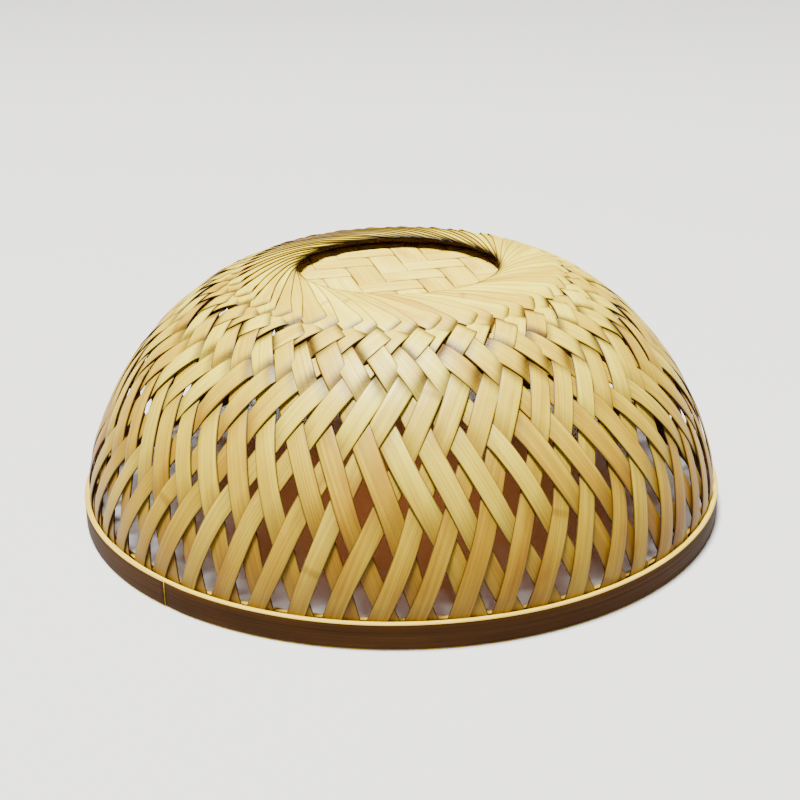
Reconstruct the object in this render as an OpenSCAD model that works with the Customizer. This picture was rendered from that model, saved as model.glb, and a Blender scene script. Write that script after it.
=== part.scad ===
// A domed hat woven from split bamboo. Every strip runs from the rim over the shoulder,
// touches one circle round the crown and goes down to the rim again. Where strips cross they
// pass over two and under two. Two hoops grip their ends and a woven disc closes the crown.
// Millimetres, degrees, +Z up. The origin is the centre of the rim, on the surface it rests on.

/* [Rim] */
// Outer diameter of the rim
rim_d = 250; // [230:5:280]
// Height of both rim hoops
hoop_h = 10; // [8:1:14]
// Thickness of the outer hoop
outer_hoop_t = 2; // [1.5:0.25:3]
// Thickness of the inner hoop
inner_hoop_t = 1.8; // [1:0.2:3]
// Bearing of the outer hoop's seam, where its two ends pass each other
seam_bearing = -131; // [-180:1:180]
// Width of the seam on the outer hoop's face
seam_w = 1.2; // [0.8:0.1:2]

/* [Bowl] */
// Height of the whole hat
hat_h = 95; // [85:1:110]
// Radius of the circle that every strip touches at the crown
ring_r = 42.5; // [41:0.5:48]
// Fullness of the shoulder, sideways
side_power = 1.8; // [1.7:0.05:2.2]
// Fullness of the shoulder, upwards
top_power = 1.6; // [1.5:0.05:2.1]
// How far the crown's lip rolls down towards the disc
lip_drop = 1.5; // [0.5:0.25:2.5]

/* [Weave] */
// Number of strips in the bowl
strip_count = 56; // [52:1:56]
// Width of a strip
strip_w = 9; // [7:0.25:9.5]
// Thickness of a strip
strip_t = 0.5; // [0.4:0.05:0.6]
// Space left between strips that lie on each other
play = 0.02; // [0.01:0.01:0.05]

/* [Crown disc] */
// Radius of the woven disc, which reaches in under the strips
disc_r = 52; // [50:1:56]
// Spacing of the disc's strips
disc_pitch = 11.4; // [10:0.2:13]
// Thickness of the disc's strips
disc_t = 0.6; // [0.4:0.1:0.8]
// Bearing of the disc's warp
disc_turn = 14; // [0:1:90]

/* [Hidden] */
$fn = 160;
// Bearing between neighbouring strips
step = 360 / strip_count;
// Distance between the middles of two strips that lie on each other
layer = strip_t + play;
half_w = strip_w / 2;
// Outer face of the bowl where the hoop grips it
wall_r = rim_d / 2 - outer_hoop_t - play;
// Lowest point of a strip, just clear of the rest surface
strip_foot = 1;
// Crossings between the crown circle and the first turn of the over-two, under-two weave
first_turn = 15.5;
// Half the length of a turn, in crossings
turn_half = 0.2;
// How far a flat strip bows in from the round wall across its width
strip_bow = strip_w * strip_w / (8 * wall_r);
// The inner hoop stands inside both layers of strips
inner_hoop_r = wall_r - 2 * layer - strip_bow - play;
// Most layers of strips on each other, over the crown circle
stack = 2 * acos((ring_r - half_w) / (ring_r + half_w)) / step;
disc_top = hat_h - stack * layer - strip_t / 2 - 0.2;

strip_names = [for (i = [1 : strip_count]) str("strip_", i < 10 ? "0" : "", i)];

// --- Outer face of the bowl, as a path from the crown circle down to the strips' feet ---

profile_steps = 60;

function bowl_point(a) = [
    ring_r + (wall_r - ring_r) * pow(cos(a), 2 / side_power),
    hoop_h + (hat_h - hoop_h) * pow(sin(a), 2 / top_power)
];

outline = concat(
    [for (i = [0 : profile_steps]) bowl_point(90 * (1 - pow(i / profile_steps, 2)))],
    [[wall_r, hoop_h / 2], [wall_r, strip_foot]]
);

// Bearing that a geodesic which touches the crown circle turns through from a to b
function swept(a, b) =
    abs(b[0] - a[0]) < 0.001
    ? norm(b - a) * ring_r / (b[0] * sqrt(b[0] * b[0] - ring_r * ring_r)) * 180 / PI
    : (acos(min(1, ring_r / b[0])) - acos(min(1, ring_r / a[0]))) * norm(b - a) / (b[0] - a[0]);

function running_sum(steps) = [
    for (i = 0, total = 0; i <= len(steps); total = total + (i < len(steps) ? steps[i] : 0), i = i + 1)
        total
];

last = len(outline) - 1;
path_s = running_sum([for (i = [1 : last]) norm(outline[i] - outline[i - 1])]);
path_turn = running_sum([for (i = [1 : last]) swept(outline[i - 1], outline[i])]);
s_by_turn = [for (i = [0 : last]) [path_turn[i], path_s[i]]];
r_by_s = [for (i = [0 : last]) [path_s[i], outline[i][0]]];
z_by_s = [for (i = [0 : last]) [path_s[i], outline[i][1]]];

// Point of the outer face at path length s; inside the crown circle it rolls down as a lip
function face(s) =
    s < 0
    ? [ring_r + s, hat_h - lip_drop * pow(s / half_w, 2)]
    : [lookup(s, r_by_s), lookup(s, z_by_s)];

function outward(s) =
    let (d = face(s + 0.4) - face(s - 0.4))
    [-d[1], d[0]] / norm(d);

// --- How deep a strip lies under the outer face ---

// Bearing from a strip's nearest point to where a line at offset v meets radius r
function edge_turn(v, r) = acos(min(1, (ring_r + v) / r));

// Strips of one family that lie on each other at radius r
function layers(r) = (edge_turn(-half_w, r) - edge_turn(half_w, r)) / step;

// Strips of the same family above the point at offset v: the first family shows its inner
// edges and the second its outer edges, and both lie level once they no longer overlap
function shingle(v, r, first) =
    min(1, max(0, (layers(r) - 1) / 0.4)) / step
    * (first ? edge_turn(-half_w, r) - edge_turn(v, r) : edge_turn(v, r) - edge_turn(half_w, r));

// under is 0 where the strip's family is on top and 1 where it is beneath
function depth(v, r, first, under) =
    strip_t / 2 + layer * (under * max(1, layers(r)) + shingle(v, r, first));

// --- One strip ---

row_last = path_turn[last] / (step / 2);
// Where the wall turns upright and the hoops begin to grip
hoop_row = path_turn[profile_steps] / (step / 2);
turns = [for (k = first_turn; k < row_last - 1; k = k + 2) k];

// Sections of one leg, as [crossings from the crown circle, under for the first family]
leg = concat(
    [for (k = [0, 1.2, 2.6, 4.4, 6.8, 9.6, 12.6]) [k, 0]],
    [for (i = [0 : len(turns) - 1]) each [
        [turns[i] - turn_half, i % 2],
        [turns[i] + turn_half, 1 - i % 2],
        [min(turns[i] + 1, row_last - 0.5), 1 - i % 2]
    ]],
    [[hoop_row, len(turns) % 2], [row_last, len(turns) % 2]]
);
sections = concat(
    [for (i = [len(leg) - 1 : -1 : 1]) [-leg[i][0], 1 - leg[i][1]]],
    leg
);

// Sections on the wall follow the strips they cross, so their two ends are staggered
function stagger(k, v) =
    let (r = face(lookup(abs(k) * step / 2, s_by_turn))[0])
    abs(k) < 14 || abs(k) > hoop_row - 0.1 ? 0
    : sign(k) * v / (step * PI / 180 * sqrt(r * r - ring_r * ring_r))
      * (1 - 2 * pow(ring_r / r, 2));

// Corner of a section: k crossings out, offset v from the middle line, up or down by half_t
function corner(k, under, v, half_t) =
    let (
        first = k >= 0,
        turn = (k + stagger(k, v)) * step / 2,
        s0 = lookup(min(abs(turn), path_turn[last]), s_by_turn),
        r0 = face(s0)[0],
        lean = ring_r / r0,
        s = min(s0 + v * lean, path_s[last]),
        bearing = turn - sign(turn) * v * sqrt(1 - lean * lean) / r0 * 180 / PI,
        n = outward(s),
        flat = face(s),
        at = flat - n * (depth(v, flat[0], first, under) - half_t)
    )
    [at[0] * cos(bearing), at[0] * sin(bearing), at[1]];

function section(k, under) = [
    corner(k, under, -half_w, strip_t / 2),
    corner(k, under, half_w, strip_t / 2),
    corner(k, under, half_w, -strip_t / 2),
    corner(k, under, -half_w, -strip_t / 2)
];

strip_points = [for (q = sections) each section(q[0], q[1])];
strip_ends = 4 * (len(sections) - 1);
strip_faces = concat(
    [[0, 1, 2], [0, 2, 3]],
    [for (i = [0 : len(sections) - 2], j = [0 : 3])
        let (a = 4 * i + j, b = 4 * i + (j + 1) % 4)
        each j < 2 ? [[a, a + 4, b], [b, a + 4, b + 4]] : [[a, b + 4, b], [a, a + 4, b + 4]]],
    [[strip_ends, strip_ends + 2, strip_ends + 1], [strip_ends, strip_ends + 3, strip_ends + 2]]
);

module strip(i) {
    color(i % 3 == 0 ? "khaki" : "palegoldenrod")
        rotate([0, 0, i * step]) polyhedron(strip_points, strip_faces, convexity = 8);
}

// --- Hoops ---

module ring(outer_r, thick, high) {
    rotate_extrude() translate([outer_r - thick, 0]) square([thick, high]);
}

// A flat split bent round the rim: its inner half runs right round behind the seam
module outer_hoop() {
    half_t = outer_hoop_t / 2;
    bite = 0.01;
    color("peru")
        union() {
            ring(rim_d / 2 - half_t, half_t, hoop_h);
            rotate([0, 0, seam_bearing]) rotate_extrude(angle = 360 - seam_w / rim_d * 360 / PI)
                translate([rim_d / 2 - half_t - bite, 0]) square([half_t + bite, hoop_h]);
        }
}

module inner_hoop() {
    color("burlywood") ring(inner_hoop_r, inner_hoop_t, hoop_h);
}

// --- Crown disc ---

disc_w = disc_pitch - 0.3;

module disc_strips(turn) {
    reach = floor(disc_r / disc_pitch);
    intersection() {
        cylinder(r = disc_r, h = disc_t);
        rotate([0, 0, turn])
            for (i = [-reach : reach])
                translate([-disc_r, i * disc_pitch - disc_w / 2, 0])
                    cube([2 * disc_r, disc_w, disc_t]);
    }
}

module crown_warp() {
    color("wheat") translate([0, 0, disc_top - 2 * disc_t - play]) disc_strips(disc_turn);
}

module crown_weft() {
    color("cornsilk") translate([0, 0, disc_top - disc_t]) disc_strips(disc_turn + 90);
}

for (i = [0 : strip_count - 1])
    strip(i);
outer_hoop();
inner_hoop();
crown_warp();
crown_weft();
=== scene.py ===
"""A domed hat woven from split bamboo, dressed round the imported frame.

Every strip of the bowl is a geodesic that touches the crown circle, with one leg on each side.
A place on a leg is counted in crossings: neighbouring strips of the other family are one
crossing apart. Lengths are in metres and bearings in radians.
"""
import math
import bpy
import numpy as np
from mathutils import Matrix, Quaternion, Vector


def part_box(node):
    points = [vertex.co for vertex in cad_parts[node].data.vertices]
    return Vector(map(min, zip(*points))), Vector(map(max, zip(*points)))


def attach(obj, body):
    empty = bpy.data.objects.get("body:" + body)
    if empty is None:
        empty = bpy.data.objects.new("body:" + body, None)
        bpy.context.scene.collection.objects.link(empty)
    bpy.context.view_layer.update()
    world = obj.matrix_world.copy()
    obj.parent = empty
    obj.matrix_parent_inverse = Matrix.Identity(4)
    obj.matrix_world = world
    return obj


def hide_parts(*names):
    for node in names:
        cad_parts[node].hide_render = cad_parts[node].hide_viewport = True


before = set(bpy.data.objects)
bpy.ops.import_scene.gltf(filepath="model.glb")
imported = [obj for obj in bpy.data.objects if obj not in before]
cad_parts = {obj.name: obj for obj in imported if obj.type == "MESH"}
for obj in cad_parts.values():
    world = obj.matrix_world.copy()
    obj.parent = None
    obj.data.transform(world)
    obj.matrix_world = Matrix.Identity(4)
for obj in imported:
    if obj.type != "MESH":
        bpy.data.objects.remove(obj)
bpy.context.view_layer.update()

MM = 0.001

# Driving sizes, from the frame where it has them
STRIP_NAMES = sorted(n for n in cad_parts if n.startswith("strip_"))
COUNT = len(STRIP_NAMES)
STEP = 2 * math.pi / COUNT
RIM_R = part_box("outer_hoop")[1][0]
HOOP_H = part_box("outer_hoop")[1][2]
HAT_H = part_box("strip_01")[1][2]
DISC_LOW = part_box("crown_warp")[0][2]
DISC_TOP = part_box("crown_weft")[1][2]
DISC_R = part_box("crown_warp")[1][0]
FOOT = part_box("strip_01")[0][2]

# Driving sizes that the frame doesn't give
RING_R = 42.5 * MM
STRIP_W = 9 * MM
STRIP_T = 0.5 * MM
PLAY = 0.02 * MM
OUTER_HOOP_T = 2 * MM
INNER_HOOP_T = 1.8 * MM
SEAM_BEARING = math.radians(-131)
SIDE_POWER = 1.8
TOP_POWER = 1.6
LIP_DROP = 1.5 * MM
DISC_PITCH = 11.4 * MM
DISC_T = 0.6 * MM
DISC_TURN = math.radians(14)
LAYER = STRIP_T + PLAY
HALF_W = STRIP_W / 2
WALL_R = RIM_R - OUTER_HOOP_T - PLAY

# Over two and under two, counted in crossings from the crown circle
FIRST_TURN = 15.5
FLOAT = 2

# First seed of each kind of piece
STRIP_SEED = 7
HOOP_SEED = 107
DISC_SEED = 207


# --- The bowl's outer face, as a path from the crown circle down to the strips' feet ---

TINY = 1e-9


def past_ring(r):
    """Length of a tangent from the crown circle out to radius r."""
    return np.sqrt(np.maximum(r ** 2 - RING_R ** 2, TINY))


def trace_bowl(steps=500):
    """Path length, radius, height and geodesic bearing along the outer face."""
    a = math.pi / 2 * (1 - np.linspace(0, 1, steps) ** 2)
    r = RING_R + (WALL_R - RING_R) * np.abs(np.cos(a)) ** (2 / SIDE_POWER)
    z = HOOP_H + (HAT_H - HOOP_H) * np.abs(np.sin(a)) ** (2 / TOP_POWER)
    r[0] = RING_R
    r = np.append(r, [WALL_R, WALL_R])
    z = np.append(z, [HOOP_H / 2, FOOT])
    chord = np.hypot(np.diff(r), np.diff(z))
    turn_in = np.arccos(np.minimum(1, RING_R / r))
    run = np.diff(r)
    sloping = np.abs(run) > TINY
    cone = np.diff(turn_in) * chord / np.where(sloping, run, 1)
    pipe = chord * RING_R / (r[1:] * past_ring(r[1:]))
    s = np.concatenate([[0], np.cumsum(chord)])
    turn = np.concatenate([[0], np.cumsum(np.where(sloping, cone, pipe))])
    return s, r, z, turn


PATH_S, PATH_R, PATH_Z, PATH_TURN = trace_bowl()
LAST_ROW = 2 * PATH_TURN[-1] / STEP


def face(s):
    """Radius and height of the outer face; inside the crown circle it rolls down as a lip."""
    lip = HAT_H - LIP_DROP * (np.minimum(s, 0) / HALF_W) ** 2
    r = np.where(s < 0, RING_R + s, np.interp(s, PATH_S, PATH_R))
    return r, np.where(s < 0, lip, np.interp(s, PATH_S, PATH_Z))


def outward(s, reach=0.4 * MM):
    """The face's outward normal, as its radial and upward parts."""
    r0, z0 = face(s - reach)
    r1, z1 = face(s + reach)
    size = np.hypot(r1 - r0, z1 - z0)
    return -(z1 - z0) / size, (r1 - r0) / size


# --- How the strips lie on each other ---

def edge_turn(v, r):
    """Bearing from a strip's nearest point to where a line at offset v meets radius r."""
    return np.arccos(np.clip((RING_R + v) / r, -1, 1))


def layers(r):
    """How many strips of one family lie on each other at radius r."""
    return (edge_turn(-HALF_W, r) - edge_turn(HALF_W, r)) / STEP


# Strips of one family lie level until this many more layers than one overlap
SHINGLE_FADE = 0.4


def shingle(v, r, first):
    """Layers of a strip's own family above the point at offset v."""
    fade = np.clip((layers(r) - 1) / SHINGLE_FADE, 0, 1)
    inner = edge_turn(-HALF_W, r) - edge_turn(v, r)
    outer = edge_turn(v, r) - edge_turn(HALF_W, r)
    return fade * np.where(first, inner, outer) / STEP


# Half the length of a turn in crossings, and how it grows with the gap beside the strip
TURN_HALF = 0.17
TURN_GROWTH = 0.6
TURN_GAP = 0.4
# How far the painted shade at a turn reaches, in crossings
TURN_SHADE = 0.38


def nearest_turn(row):
    """Number of the turn nearest to row, and the crossings from that turn to row."""
    place = (row - FIRST_TURN) / FLOAT
    turn = np.maximum(np.round(place), 0)
    return turn, (place - turn) * FLOAT


def ease(share):
    """A smooth swing from -1 to 1."""
    return np.sin(math.pi / 2 * np.clip(share, -1, 1))


def weave(row, r):
    """1 where the first family is beneath, 0 where it is on top: over two, under two."""
    turn, away = nearest_turn(row)
    gap = 1 - STRIP_W / (STEP * past_ring(r))
    half = TURN_HALF + TURN_GROWTH * np.clip(gap, 0, TURN_GAP)
    rising = np.where(turn % 2 == 0, 1, -1)
    return 0.5 + 0.5 * rising * ease(away / half)


def bow(row):
    """How far the first family's floats bow out: 1 in the middle of one on top, -1 beneath."""
    turn, away = nearest_turn(row)
    woven = np.where(turn % 2 == 0, -1, 1) * ease(away)
    unwoven = np.clip(row - FIRST_TURN + FLOAT, 0, 1)
    return np.where(row > FIRST_TURN - FLOAT / 2, woven, unwoven)


def near_turn(row):
    """1 where the two families change places, fading within a crossing: where the painted shade at
    turns lies.
    """
    return np.exp(-(nearest_turn(row)[1] / TURN_SHADE) ** 2)


# Waves that make up the noise: how many in a period, and their size
OCTAVES = ((1, 0.6), (2.3, 0.3), (4.1, 0.15))


def smooth_noise(rng, x, period):
    """A seeded wave of unit size along x, with bends about a period apart."""
    total = np.zeros_like(x)
    for octave, size in OCTAVES:
        start = rng.uniform(0, 2 * math.pi)
        total += size * np.sin(2 * math.pi * octave * x / period + start)
    return total


# --- Meshes ---

def new_piece(name, points, faces, attributes, materials, face_slots=None):
    """A smooth mesh object with its material slots and per-point attributes, parented to the root
    body.
    """
    mesh = bpy.data.meshes.new(name)
    mesh.from_pydata([tuple(p) for p in points], [], [tuple(f) for f in faces])
    for key, values in attributes.items():
        data = mesh.attributes.new(key, "FLOAT_VECTOR", "POINT")
        data.data.foreach_set("vector", np.asarray(values, dtype=np.float32).ravel())
    for material in materials:
        mesh.materials.append(material)
    if face_slots is not None:
        mesh.polygons.foreach_set("material_index", np.asarray(face_slots, dtype=np.int32))
    mesh.polygons.foreach_set("use_smooth", [True] * len(mesh.polygons))
    mesh.update()
    piece = bpy.data.objects.new(name, mesh)
    bpy.context.scene.collection.objects.link(piece)
    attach(piece, "root")
    return piece


def loft_faces(rings, around):
    """Quads between closed rings of points, with a row of quads closing each end."""
    faces = []
    for i in range(rings - 1):
        for j in range(around):
            k = (j + 1) % around
            a, b = i * around, (i + 1) * around
            faces.append((a + j, b + j, b + k, a + k))
    last = (rings - 1) * around
    half = around // 2
    for j in range(half - 1):
        faces.append((j, j + 1, around - 2 - j, around - 1 - j))
        faces.append((last + around - 1 - j, last + around - 2 - j, last + j + 1, last + j))
    return faces


# --- Strips ---

# Across a strip: (offset as a share of the half width, height as a share of half its thickness)
TOP_EDGE = [(-1, 0.1), (-0.975, 0.75), (-0.9, 1.0), (-0.64, 1.0), (-0.38, 1.0), (-0.13, 1.0)]
TOP_SHAPE = TOP_EDGE + [(-x, h) for x, h in reversed(TOP_EDGE)]
SECTION = TOP_SHAPE + [(x, -h) for x, h in reversed(TOP_SHAPE)]
# Arch across a strip, and how far a float bows out
ARCH = 0.26 * MM
BOW = 0.45 * MM
# The hoops press the strips flat; this far above them they are free
HOOP_EASE = 4 * MM
# Strips lie regularly round the crown and wander from this crossing on
LOOSE_ROW = 11
LOOSE_FADE = 9
WIDTH_SPREAD = 0.05
NARROWER = 0.12
LOW_ROW = 20
LOW_FADE = 5
LOW_NARROWER = 0.08
WANDER = 1.7 * MM
# Neighbours draw together in pairs at the shoulder
PAIR_SHIFT = 1.35 * MM
PAIR_ROW = 16.3
PAIR_REACH = 2.6
UNEVEN = 0.05 * MM
# Knots of the bamboo
KNOT_SPACING = 260 * MM
KNOT_W = 1.6 * MM
KNOT_RISE = 0.12 * MM
# Strips lie flat across where this many layers overlap
FLAT_LAYERS = 1.5
# How dark the painted shade is on hidden floats, under the crown's lip and at turns, and where each
# fades
HIDDEN_SHADE_STRENGTH = 0.85
HIDDEN_ROW = 17
HIDDEN_FADE = 4
LIP_SHADE_STRENGTH = 0.6
LIP_REACH = 5
LIP_EDGE = 0.75
LIP_FADE = 0.2
TURN_SHADE_STRENGTH = 0.5
# The painted shade at turns is full from CLOSE plus CLOSE_FADE layers up, and less where strips
# stand apart
CLOSE = 0.85
CLOSE_FADE = 0.3
CLOSE_LEAST = 0.3
# Each piece's grain starts at a random number up to this
GRAIN_SEEDS = 10


def section_arrays():
    """Across a strip: offset as a share of its half width, flat height, and arch."""
    x = np.array([p[0] for p in SECTION])
    flat = np.array([p[1] for p in SECTION]) * STRIP_T / 2
    return x, flat, ARCH * (0.5 - x ** 2)


def stations(spacing=1.25 * MM, samples=1500):
    """Rows along a whole strip and their places along it, evenly spaced by length."""
    k = np.linspace(0, LAST_ROW, samples)
    turn = k * STEP / 2
    s = np.interp(turn, PATH_TURN, PATH_S)
    r, z = face(s)
    moved = np.sqrt(np.diff(r) ** 2 + np.diff(z) ** 2 + (r[1:] * np.diff(turn)) ** 2)
    length = np.concatenate([[0], np.cumsum(moved)])
    even = np.linspace(0, length[-1], int(length[-1] / spacing) + 1)
    leg = np.interp(even, length, k)
    rows = np.concatenate([-leg[:0:-1], leg])
    along = np.concatenate([-even[:0:-1], even])
    return rows, along


ROWS, ALONG = stations()


def fade_in(row, first, reach):
    """0 up to the crossing first, 1 from reach crossings further out."""
    return np.clip((np.abs(row) - first) / reach, 0, 1)


def strip_wander(index, rng):
    """Width factor, sideways drift, unevenness and knots along one strip."""
    loose = fade_in(ROWS, LOOSE_ROW, LOOSE_FADE)
    width = 1 + rng.normal(0, WIDTH_SPREAD) - NARROWER * loose
    width = width + WIDTH_SPREAD * loose * smooth_noise(rng, ALONG, 160 * MM)
    width = width - LOW_NARROWER * fade_in(ROWS, LOW_ROW, LOW_FADE)
    drift = WANDER * loose * smooth_noise(rng, ALONG, 200 * MM)
    pair = PAIR_SHIFT * np.exp(-((np.abs(ROWS) - PAIR_ROW) / PAIR_REACH) ** 2)
    drift = drift + (pair if index % 2 else -pair)
    lift = UNEVEN * smooth_noise(rng, ALONG, 50 * MM)
    knot_at = (np.arange(-2, 3) + rng.uniform(0, 1)) * KNOT_SPACING
    from_knot = np.min(np.abs(ALONG[:, None] - knot_at[None, :]), axis=1)
    knot = np.exp(-(from_knot / KNOT_W) ** 2)
    return width, drift, lift + KNOT_RISE * knot, knot


def strip_marks_and_shade(x, row, r, under, knot):
    """Where a strip is darker: its knots; painted shade on hidden floats, at turns and under the
    crown's lip; and its edges, partly browner, partly painted shade between strips.
    """
    rows = ROWS[:, None]
    # Painted shade on floats that lie beneath the other family
    hidden = HIDDEN_SHADE_STRENGTH * under * fade_in(rows, HIDDEN_ROW, HIDDEN_FADE)
    # Strip edges darker: partly their own browner edge, partly painted shade in the gaps between
    # strips
    edge = np.broadcast_to(np.abs(x)[None, :], row.shape)
    # Painted shade under the crown's lip, on the strips' inner edges near the crown circle
    lip_edge = np.clip((-x[None, :] - LIP_EDGE) / LIP_FADE, 0, 1)
    lip = LIP_SHADE_STRENGTH * np.exp(-(rows / LIP_REACH) ** 2) * lip_edge
    # Painted shade where a strip dives under the other family, fuller where strips lie close
    close = np.clip((layers(r) - CLOSE) / CLOSE_FADE, CLOSE_LEAST, 1)
    turn = TURN_SHADE_STRENGTH * close * near_turn(row)
    return np.stack([np.maximum(knot[:, None], hidden), edge, turn + lip], axis=-1)


def strip_points(index, rng):
    """Points of one strip with their grain (place along, place across, seed), marks and painted
    shade.
    """
    x, flat, arch = section_arrays()
    width, drift, lift, knot = strip_wander(index, rng)
    v = drift[:, None] + HALF_W * width[:, None] * x[None, :]
    k = np.broadcast_to(ROWS[:, None], v.shape)
    first = k >= 0
    side = np.where(first, 1.0, -1.0)
    turn = np.abs(k) * STEP / 2
    s0 = np.interp(turn, PATH_TURN, PATH_S)
    r0, _ = face(s0)
    lean = np.minimum(RING_R / r0, 1)
    s = np.minimum(s0 + v * lean, PATH_S[-1])
    bearing = side * turn - side * v * np.sqrt(1 - lean ** 2) / r0
    r, z = face(s)
    row = (np.interp(s, PATH_S, PATH_TURN) + side * bearing) / STEP
    under = np.where(first, weave(row, r), 1 - weave(row, r))
    shingled = shingle(np.clip(v, -HALF_W, HALF_W), r, first)
    deep = STRIP_T / 2 + LAYER * (under * np.maximum(1, layers(r)) + shingled)
    free = np.clip((z - HOOP_H) / HOOP_EASE, 0, 1)
    arched = free * np.clip(FLAT_LAYERS - layers(r), 0, 1)
    bowed = BOW * np.where(first, bow(row), -bow(row))
    up = flat[None, :] - deep + arched * arch[None, :] + free * (lift[:, None] + bowed)
    nr, nz = outward(s)
    r, z = r + nr * up, z + nz * up
    marks_and_shade = strip_marks_and_shade(x, row, r, under, knot)
    whole = bearing + index * STEP
    points = np.stack([r * np.cos(whole), r * np.sin(whole), z], axis=-1)
    along = np.broadcast_to((ALONG + ALONG[-1])[:, None], v.shape)
    grain = np.stack([along, v, np.full(v.shape, rng.uniform(0, GRAIN_SEEDS))], axis=-1)
    return points.reshape(-1, 3), {"grain": grain.reshape(-1, 3), "marks_and_shade": marks_and_shade.reshape(-1, 3)}


def make_strips(skin, pith):
    # A strip's section runs round the other way from a hoop's, so its faces are turned outwards
    faces = [quad[::-1] for quad in loft_faces(len(ROWS), len(SECTION))]
    top = len(TOP_SHAPE)
    rings = len(ROWS) - 1
    slots = [0 if j < top - 1 else 1 for _ in range(rings) for j in range(len(SECTION))]
    slots += [1] * (len(faces) - len(slots))
    for index, name in enumerate(STRIP_NAMES):
        rng = np.random.default_rng(STRIP_SEED + index)
        points, attributes = strip_points(index, rng)
        piece = new_piece("bamboo_" + name, points, faces, attributes, [skin, pith], slots)
        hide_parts(name)


# --- Hoops ---

# Across a hoop: (share of its thickness from the inside, share of its height)
HOOP_SECTION = [
    (0, 0.04), (0.12, 0), (0.88, 0), (1, 0.04), (1, 0.3), (1, 0.5), (1, 0.7), (1, 0.96),
    (0.88, 1), (0.12, 1), (0, 0.96), (0, 0.7), (0, 0.5), (0, 0.3),
]
# Sides of HOOP_SECTION that show the split's cut edges
CUT_SIDES = {0, 1, 2, 7, 8, 9}
# How far the hoops' top edge dips, and the bearing between dips
HOOP_DIP = 0.18 * MM
HOOP_WAVE = 2.1
HOOP_STATIONS = 420
SCARF = 46 * MM / RIM_R
SCARF_TIP = 0.5 * MM
WHOLE = 2 * math.pi


def make_hoop(name, node, inner, outer, start, turns, rng, materials):
    """A flat split bent round the rim. inner and outer give its faces' radii by bearing."""
    bearing = np.linspace(0, turns, HOOP_STATIONS)
    wave = smooth_noise(rng, bearing, HOOP_WAVE)
    points, grain = [], []
    seed = rng.uniform(0, GRAIN_SEEDS)
    for n, turn in enumerate(bearing):
        low, high = inner(turn), outer(turn)
        for x, y in HOOP_SECTION:
            r = low + (high - low) * x
            z = y * HOOP_H
            if y > 0.5:
                z -= HOOP_DIP * (1 + wave[n])
            points.append((r * math.cos(start + turn), r * math.sin(start + turn), z))
            grain.append((turn * RIM_R, z + x * (high - low), seed))
    around = len(HOOP_SECTION)
    faces = loft_faces(HOOP_STATIONS, around)
    slots = [int(j in CUT_SIDES) for _ in range(HOOP_STATIONS - 1) for j in range(around)]
    slots += [1] * (len(faces) - len(slots))
    piece = new_piece(name, points, faces, {"grain": grain}, materials, slots)
    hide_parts(node)


def make_hoops(face_material, cut_material):
    """The outer hoop's ends are scarfed and pass each other; the inner hoop's ends meet."""
    rng = np.random.default_rng(HOOP_SEED)
    materials = [face_material, cut_material]
    base = RIM_R - OUTER_HOOP_T

    def scarf_face(turn):
        return base + SCARF_TIP + (OUTER_HOOP_T - SCARF_TIP) * min(turn / SCARF, 1)

    def outer_inside(turn):
        return base if turn < WHOLE else scarf_face(turn - WHOLE) + PLAY

    def outer_outside(turn):
        return scarf_face(turn) if turn < SCARF else RIM_R

    lap = 0.8 * SCARF
    make_hoop("rim_hoop_outer", "outer_hoop", outer_inside, outer_outside,
              SEAM_BEARING - lap, WHOLE + lap, rng, materials)
    inner_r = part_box("inner_hoop")[1][0]
    joint_bearing = math.radians(40)
    joint = 0.004
    make_hoop("rim_hoop_inner", "inner_hoop", lambda turn: inner_r - INNER_HOOP_T,
              lambda turn: inner_r, joint_bearing, WHOLE - joint, rng, materials)


# --- Crown disc ---

# Half the length of a turn in the disc's weave, in crossings
DISC_TURN_HALF = 0.22
# Half a disc strip's width as a share of the pitch, and how much it varies
DISC_HALF_W = 0.507
DISC_SPREAD = 0.004
DISC_THINNER = 0.8
DISC_WANDER = 0.15 * MM
DISC_SPACING = 1.3 * MM
DISC_INSET = 1 * MM
# Keeps the grain's places along the disc positive
DISC_GRAIN = 100 * MM


def disc_wave(index, along, side):
    """Height of a disc strip: over two and under two of the other direction."""
    place = (along / DISC_PITCH - side * (index - 0.5)) / FLOAT
    near = np.round(place)
    rising = np.where(near % 2 == 0, 1, -1)
    return rising * ease((place - near) * FLOAT / DISC_TURN_HALF)


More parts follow.
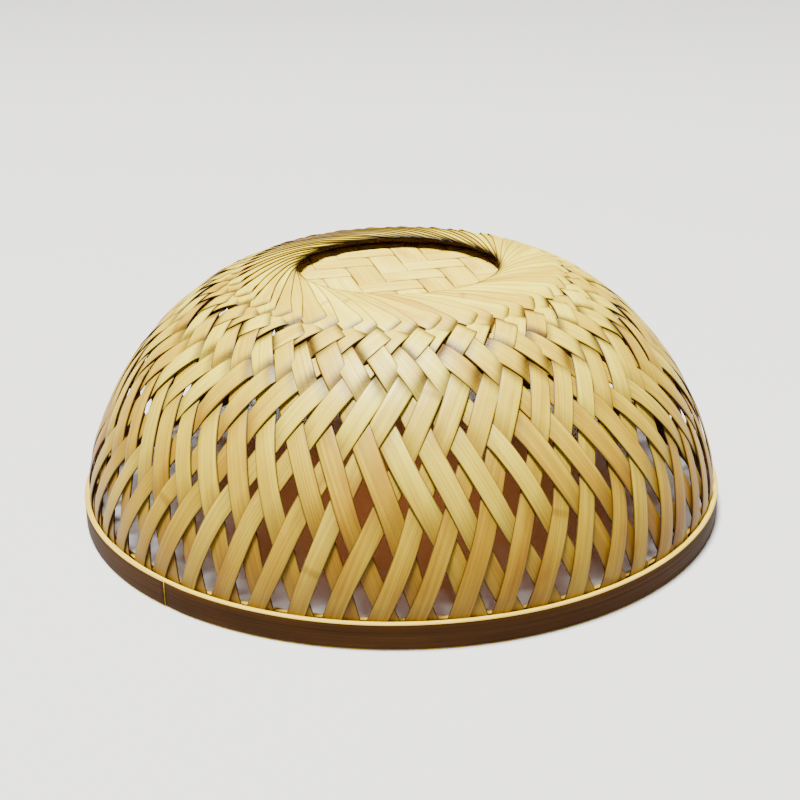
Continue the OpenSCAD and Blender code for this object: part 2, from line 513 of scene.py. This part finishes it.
def make_disc(name, node, turn, side, materials, rng):
    """One direction of the crown disc's strips, each ending near the disc's circle."""
    x, flat, arch = section_arrays()
    h = (flat + arch) * DISC_T / STRIP_T * DISC_THINNER
    middle = (DISC_LOW + DISC_TOP) / 2
    reach = int(DISC_R // DISC_PITCH)
    points, grain, marks_and_shade, faces = [], [], [], []
    for n in range(-reach, reach + 1):
        far_edge = abs(n) * DISC_PITCH + DISC_PITCH / 2 - DISC_INSET
        chord = math.sqrt(DISC_R ** 2 - far_edge ** 2)
        count = int(2 * chord / DISC_SPACING)
        along = np.linspace(-chord, chord, count)
        half_w = DISC_PITCH * (DISC_HALF_W + rng.uniform(-DISC_SPREAD, DISC_SPREAD))
        drift = n * DISC_PITCH + DISC_WANDER * smooth_noise(rng, along, 90 * MM)
        z = middle + (DISC_T / 2) * disc_wave(n, along, side)
        seed = rng.uniform(0, GRAIN_SEEDS)
        base = len(points)
        for a, d, height in zip(along, drift, z):
            for xi, hi in zip(x, h):
                v = d + xi * half_w
                points.append((
                    a * math.cos(turn) - v * math.sin(turn),
                    a * math.sin(turn) + v * math.cos(turn),
                    height + hi,
                ))
                grain.append((a + DISC_GRAIN, v, seed))
                # Disc strip edges darker: partly their own browner edge, partly painted shade
                # between strips
                marks_and_shade.append((0, abs(xi), 0))
        faces += [tuple(base + q for q in f) for f in loft_faces(count, len(SECTION))]
    attributes = {"grain": grain, "marks_and_shade": marks_and_shade}
    piece = new_piece(name, points, faces, attributes, materials)
    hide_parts(node)


# --- Materials ---

def rgb(r, g, b):
    """An sRGB colour out of 255 as linear RGBA."""
    def linear(c):
        c /= 255
        return c / 12.92 if c <= 0.04045 else ((c + 0.055) / 1.055) ** 2.4
    return (linear(r), linear(g), linear(b), 1)


# Noise drawn out along the grain, as cycles per metre along and across it
PATCHES = (14, 45)
FIBRES = (9, 2300)
BANDS = (6, 520)
SPOTS = (22, 90)
# Moves each strip to its own stretch of the noise
SEED_STEP = 7.3
# Tints that darken the bamboo, multiplied over its tone. Fibres and bands are its own grain; the
# edge tint is partly browner edges, partly painted shade between strips; the knot tint also paints
# shade on hidden floats; the turn tint is painted shade at turns and under the crown's lip.
FIBRE_TINT = rgb(150, 118, 54)
BAND_TINT = rgb(196, 160, 96)
EDGE_AND_GAP_SHADE_TINT = rgb(74, 38, 10)
KNOT_AND_SHADE_TINT = rgb(150, 100, 44)
TURN_AND_LIP_SHADE_TINT = rgb(72, 40, 8)
# Painted shade: the skin darkens towards the rim, from the first height below down to the second,
# above the rest surface
LOW_WALL_SHADE_TOP = 96 * MM
LOW_WALL_SHADE_LOW = 20 * MM
BUMP = 0.5
BUMP_DEPTH = 0.22 * MM


class Nodes:
    """Short calls for building one material's node tree."""

    def __init__(self, name):
        self.material = bpy.data.materials.new(name)
        self.material.use_nodes = True
        self.tree = self.material.node_tree
        self.tree.nodes.clear()

    def add(self, kind, values=None, **settings):
        node = self.tree.nodes.new(kind)
        for key, value in settings.items():
            setattr(node, key, value)
        for key, value in (values or {}).items():
            if isinstance(value, bpy.types.NodeSocket):
                self.tree.links.new(value, node.inputs[key])
            else:
                node.inputs[key].default_value = value
        return node

    def streaks(self, grain, cycles, detail=3.0, rough=0.6, shift=0.0):
        """Noise drawn out along the grain."""
        scaled = self.add("ShaderNodeVectorMath", {0: grain, 1: (*cycles, SEED_STEP)},
                          operation="MULTIPLY").outputs[0]
        moved = self.add("ShaderNodeVectorMath", {0: scaled, 1: (shift, shift, shift)},
                         operation="ADD").outputs[0]
        noise = self.add("ShaderNodeTexNoise", {
            "Vector": moved, "Scale": 1.0, "Detail": detail, "Roughness": rough})
        return noise.outputs["Fac"]

    def finish(self, shader):
        out = self.add("ShaderNodeOutputMaterial")
        self.tree.links.new(shader.outputs[0], out.inputs["Surface"])
        return self.material

    def ramp(self, fac, stops):
        node = self.add("ShaderNodeValToRGB", {"Fac": fac})
        elements = node.color_ramp.elements
        elements[0].position, elements[0].color = stops[0]
        elements[1].position, elements[1].color = stops[-1]
        for place, colour in stops[1:-1]:
            elements.new(place).color = colour
        return node.outputs["Color"]

    def mix(self, fac, a, b, blend="MIX"):
        """a and b by fac; "MULTIPLY" darkens a by the tint b."""
        node = self.add("ShaderNodeMix", {"Factor": fac}, data_type="RGBA", blend_type=blend)
        for slot, value in ((6, a), (7, b)):
            if isinstance(value, bpy.types.NodeSocket):
                self.tree.links.new(value, node.inputs[slot])
            else:
                node.inputs[slot].default_value = value
        return node.outputs[2]

    def tint(self, colour, tint, by, low, high, most):
        """colour times tint: not at all where by is low, and by most where it is high."""
        return self.mix(self.scale(by, low, high, 0, most), colour, tint, "MULTIPLY")

    def scale(self, value, low, high, to_low, to_high):
        """value from the range low to high, moved to the range to_low to to_high."""
        node = self.add("ShaderNodeMapRange", {
            "Value": value, "From Min": low, "From Max": high, "To Min": to_low, "To Max": to_high})
        return node.outputs["Result"]


def bamboo(name, tones, blotch, blotch_most, rough, gloss=0.2, low_wall_shade_tint=None):
    """Split bamboo: strip-to-strip tone, long fibres, blotches and a satin skin, with painted shade
    from its marks and towards the rim.

    The hoops have no marks or painted shade, which then read as 0.
    """
    n = Nodes(name)
    grain = n.add("ShaderNodeAttribute", attribute_name="grain").outputs["Vector"]
    seed = n.add("ShaderNodeSeparateXYZ", {0: grain}).outputs["Z"]
    tone = n.add("ShaderNodeTexWhiteNoise", {"W": seed}, noise_dimensions="1D").outputs["Value"]
    tone = n.add("ShaderNodeMath", {0: tone, 1: 0.45}, operation="MULTIPLY").outputs[0]
    patch = n.streaks(grain, PATCHES, 2.0)
    place = n.add("ShaderNodeMath", {0: patch, 1: 0.9, 2: tone}, operation="MULTIPLY_ADD").outputs[0]
    colour = n.ramp(n.scale(place, 0.25, 1.05, 0, 1), tones)

    fibre = n.streaks(grain, FIBRES)
    band = n.streaks(grain, BANDS, 2.0, shift=4.0)
    spot = n.streaks(grain, SPOTS, rough=0.65, shift=9.0)
    colour = n.tint(colour, FIBRE_TINT, by=fibre, low=0.35, high=0.7, most=0.5)
    colour = n.tint(colour, BAND_TINT, by=band, low=0.35, high=0.75, most=0.32)
    colour = n.mix(n.scale(spot, 0.53, 0.72, 0, blotch_most), colour, blotch)

    marks_and_shade = n.add("ShaderNodeAttribute", attribute_name="marks_and_shade").outputs["Vector"]
    marks_and_shade = n.add("ShaderNodeSeparateXYZ", {0: marks_and_shade}).outputs
    # Edges: partly browner, partly painted shade between strips
    colour = n.tint(colour, EDGE_AND_GAP_SHADE_TINT, by=marks_and_shade["Y"], low=0.86, high=0.98, most=0.92)
    # The bamboo's darker knots, and painted shade on hidden floats
    colour = n.tint(colour, KNOT_AND_SHADE_TINT, by=marks_and_shade["X"], low=0.3, high=1.0, most=0.45)
    # Painted shade at turns and under the crown's lip
    colour = n.tint(colour, TURN_AND_LIP_SHADE_TINT, by=marks_and_shade["Z"], low=0.05, high=0.5, most=0.95)
    # Painted shade: the skin darker towards the rim
    if low_wall_shade_tint is not None:
        position = n.add("ShaderNodeNewGeometry").outputs["Position"]
        height = n.add("ShaderNodeSeparateXYZ", {0: position}).outputs["Z"]
        colour = n.tint(colour, low_wall_shade_tint, by=height, low=LOW_WALL_SHADE_TOP, high=LOW_WALL_SHADE_LOW, most=1)

    relief = n.mix(0.35, fibre, band)
    bumped = n.add("ShaderNodeBump", {"Height": relief, "Strength": BUMP, "Distance": BUMP_DEPTH})
    shader = n.add("ShaderNodeBsdfPrincipled", {
        "Base Color": colour,
        "Roughness": n.scale(fibre, 0.3, 0.75, rough - 0.07, rough + 0.14),
        "Normal": bumped.outputs["Normal"],
        "Specular IOR Level": gloss})
    return n.finish(shader)


def ramp_stops(*stops):
    """Stops of a colour ramp, each given as place, red, green and blue."""
    return [(place, rgb(*colour)) for place, *colour in stops]


def make_materials():
    skin = ramp_stops((0, 240, 232, 92), (0.35, 228, 214, 62),
                      (0.7, 206, 180, 42), (1, 174, 134, 26))
    pith = ramp_stops((0, 198, 142, 72), (0.5, 174, 112, 50), (1, 138, 82, 32))
    hoop = ramp_stops((0, 84, 54, 18), (0.5, 62, 37, 11), (1, 42, 24, 7))
    cut = ramp_stops((0, 228, 208, 84), (0.5, 208, 180, 56), (1, 174, 136, 34))
    disc = ramp_stops((0, 240, 230, 104), (0.4, 230, 214, 76),
                      (0.75, 212, 182, 48), (1, 186, 140, 30))
    tan = rgb(162, 112, 22)
    return {
        # The skin's last tint is painted shade towards the rim
        "skin": bamboo("bamboo_skin", skin, tan, 0.62, rough=0.42, low_wall_shade_tint=rgb(176, 154, 124)),
        "pith": bamboo("bamboo_pith", pith, rgb(104, 62, 26), 0.4, rough=0.7),
        "hoop": bamboo("bamboo_hoop", hoop, rgb(44, 24, 8), 0.5, rough=0.6, gloss=0.06),
        "cut": bamboo("bamboo_cut_edge", cut, tan, 0.3, rough=0.55),
        "disc": bamboo("bamboo_disc", disc, tan, 0.7, rough=0.4),
    }


# --- Floor, lights and camera ---

def plain(name, colour, rough):
    n = Nodes(name)
    return n.finish(n.add("ShaderNodeBsdfPrincipled", {"Base Color": colour, "Roughness": rough}))


def make_floor(reach=4.0):
    mesh = bpy.data.meshes.new("floor")
    corners = [(-reach, -reach, 0), (reach, -reach, 0), (reach, reach, 0), (-reach, reach, 0)]
    mesh.from_pydata(corners, [], [(0, 1, 2, 3)])
    mesh.materials.append(plain("floor_paper", (0.46, 0.46, 0.455, 1), 0.8))
    floor = bpy.data.objects.new("floor", mesh)
    bpy.context.scene.collection.objects.link(floor)


def aim(obj, target):
    obj.rotation_mode = "QUATERNION"
    obj.rotation_quaternion = (Vector(target) - obj.location).to_track_quat("-Z", "Y")


def area_light(name, place, target, size, power, colour):
    light = bpy.data.lights.new(name, "AREA")
    light.size = size
    light.energy = power
    light.color = colour
    obj = bpy.data.objects.new(name, light)
    obj.location = place
    bpy.context.scene.collection.objects.link(obj)
    aim(obj, target)


def make_lights():
    """A soft key overhead, a faint warm glow inside the hat, and a dim pale surround."""
    area_light("key_light", place=(-0.35, -0.05, 3.6), target=(0, 0, 0.05), size=1.0,
               power=790.0, colour=(1.0, 0.985, 0.95))
    area_light("inside_light", place=(0, -0.02, 0.07), target=(0, -0.02, 0), size=0.09,
               power=0.032, colour=(1.0, 0.3, 0.08))
    world = bpy.data.worlds.new("studio")
    world.use_nodes = True
    background = world.node_tree.nodes["Background"]
    background.inputs["Color"].default_value = (1.0, 0.995, 0.98, 1)
    background.inputs["Strength"].default_value = 0.17
    bpy.context.scene.world = world


def make_camera():
    """Looks down at the hat's front, with the rim filling a set share of the picture's width."""
    elevation = math.radians(22)
    distance = 4.6 * RIM_R
    fill = 0.79
    roll = math.radians(-0.8)
    target = Vector((0, 0, 0.3 * RIM_R))
    data = bpy.data.cameras.new("camera")
    data.lens = data.sensor_width / 2 / (RIM_R / distance / fill)
    camera = bpy.data.objects.new("camera", data)
    away = Vector((0, -math.cos(elevation), math.sin(elevation)))
    camera.location = target + distance * away
    bpy.context.scene.collection.objects.link(camera)
    aim(camera, target)
    camera.rotation_quaternion = camera.rotation_quaternion @ Quaternion((0, 0, 1), roll)
    bpy.context.scene.camera = camera


make_camera()
materials = make_materials()
make_strips(materials["skin"], materials["pith"])
make_hoops(materials["hoop"], materials["cut"])
disc_rng = np.random.default_rng(DISC_SEED)
make_disc("disc_warp", "crown_warp", DISC_TURN, 1, [materials["disc"]], disc_rng)
make_disc("disc_weft", "crown_weft", DISC_TURN + math.pi / 2, -1, [materials["disc"]], disc_rng)
make_floor()
make_lights()

bpy.context.view_layer.update()
